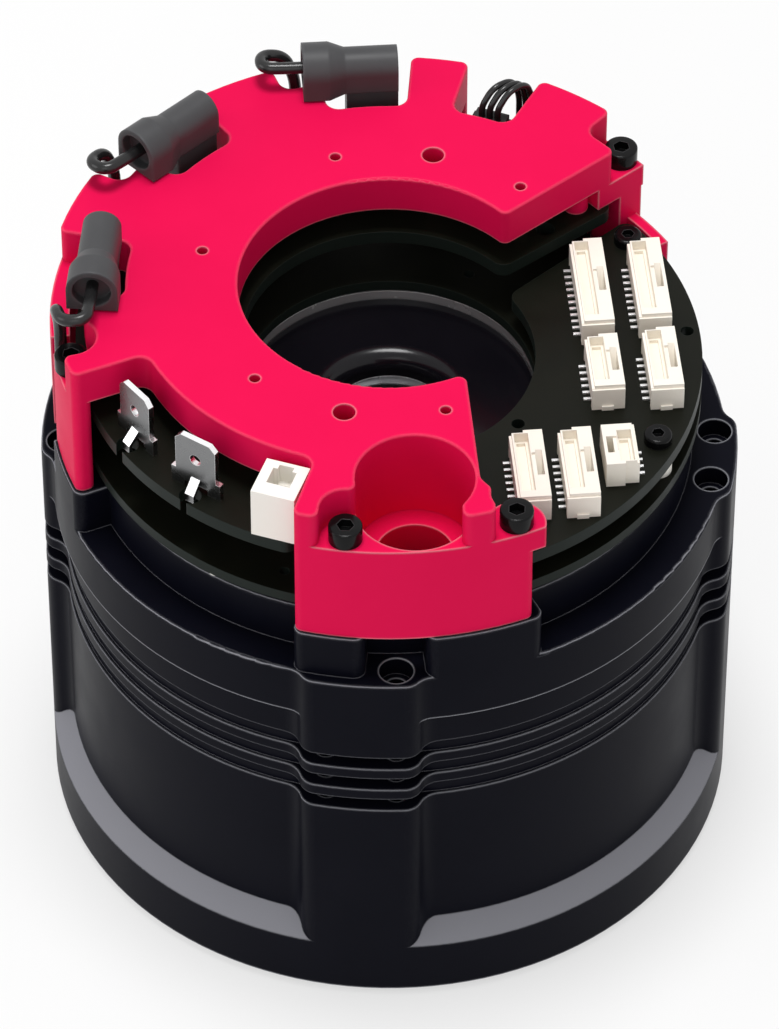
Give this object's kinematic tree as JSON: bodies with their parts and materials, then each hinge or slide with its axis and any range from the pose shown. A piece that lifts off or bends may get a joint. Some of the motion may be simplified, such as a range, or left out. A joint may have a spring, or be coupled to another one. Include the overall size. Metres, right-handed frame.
{
  "type": "robot joint actuator",
  "caption": "Hollow-shaft robot joint: lobed motor housing over a strain-wave gear, with a ring-shaped servo drive under a scalloped cover and an open row of connectors.",
  "frame": {"origin": "centre of the output flange's face, on the output axis", "axes": "+Z along the output axis from the output flange to the servo drive, +X through the middle of one housing lobe; the cover's front leg with the cable pocket lies near -Y"},
  "size_m": [0.095, 0.095, 0.0969],
  "materials": {
    "anodised_body": "matt near-black anodised aluminium",
    "cover_red": "satin crimson anodised aluminium",
    "board_green": "dark green solder mask",
    "connector_ivory": "ivory nylon",
    "header_white": "white nylon",
    "tinned": "bright tin plating",
    "black_screw": "black oxide steel",
    "boot_grey": "dark grey vinyl",
    "lead_grey": "dark grey insulation",
    "spacer_white": "white nylon",
    "bright_steel": "ground steel",
    "bearing_steel": "polished bearing steel",
    "alloy": "machined aluminium",
    "dish_black": "gloss dark anodised",
    "laminations": "electrical steel",
    "copper": "enamelled copper wire",
    "magnet": "nickel-plated magnet",
    "seal_rubber": "black nitrile"
  },
  "bodies": {
    "housing": {"housing": "anodised_body", "drive_cover": "cover_red", "cover_screws": "black_screw", "upper_board": "board_green", "connector_board": "board_green", "encoder_board": "board_green", "board_spacers": "spacer_white", "board_screws": "tinned", "connector_11_pin": "connector_ivory", "connector_10_pin": "connector_ivory", "connector_6_pin": "connector_ivory", "connector_7_pin": "connector_ivory", "connector_8_pin_inner": "connector_ivory", "connector_8_pin_outer": "connector_ivory", "connector_4_pin": "connector_ivory", "connector_pins": "tinned", "supply_tabs": "tinned", "phase_tabs": "tinned", "terminal_boots": "boot_grey", "phase_leads": "lead_grey", "sensor_plug": "boot_grey", "sensor_header": "boot_grey", "sensor_leads": "lead_grey", "brake_header": "header_white", "output_bearing_outer_ring": "bearing_steel", "output_bearing_retainer": "bright_steel", "circular_spline": "bright_steel", "stator_core": "laminations", "stator_windings": "copper", "bearing_shield": "alloy", "upper_bearing_outer_ring": "bearing_steel", "lower_bearing_outer_ring": "bearing_steel", "output_seal": "seal_rubber", "rotor_seal": "seal_rubber", "encoder_read_head": "boot_grey", "retainer_screws": "black_screw", "spline_screws": "black_screw", "shield_snap_ring": "black_screw"},
    "rotor": {"rotor_shaft": "bright_steel", "encoder_hub": "dish_black", "encoder_ring": "bright_steel", "rotor_yoke": "laminations", "rotor_magnets": "magnet", "upper_bearing_inner_ring": "bearing_steel", "lower_bearing_inner_ring": "bearing_steel", "wave_generator_plug": "alloy", "wave_bearing": "bearing_steel", "shaft_retaining_ring": "black_screw"},
    "output": {"output_flange": "bright_steel", "flexspline": "bright_steel", "output_bearing_inner_ring": "bearing_steel", "cable_tube": "alloy", "flexspline_screws": "black_screw", "clamp_nut": "bright_steel"},
    "bearing_rollers": {"output_bearing_rollers": "bearing_steel"}
  },
  "joints": [
    {"name": "rotor_spin", "type": "hinge", "parent": "housing", "child": "rotor", "pos_m": [0, 0, 0.045], "axis": [0, 0, 1], "continuous": true},
    {"name": "output_spin", "type": "hinge", "parent": "housing", "child": "output", "pos_m": [0, 0, 0], "axis": [0, 0, 1], "continuous": true},
    {"name": "roller_spin", "type": "hinge", "parent": "housing", "child": "bearing_rollers", "pos_m": [0, 0, 0.0069], "axis": [0, 0, 1], "continuous": true}
  ],
  "couplings": [
    {"joint": "output_spin", "follows": "rotor_spin", "ratio": -0.01},
    {"joint": "roller_spin", "follows": "rotor_spin", "ratio": -0.005}
  ]
}
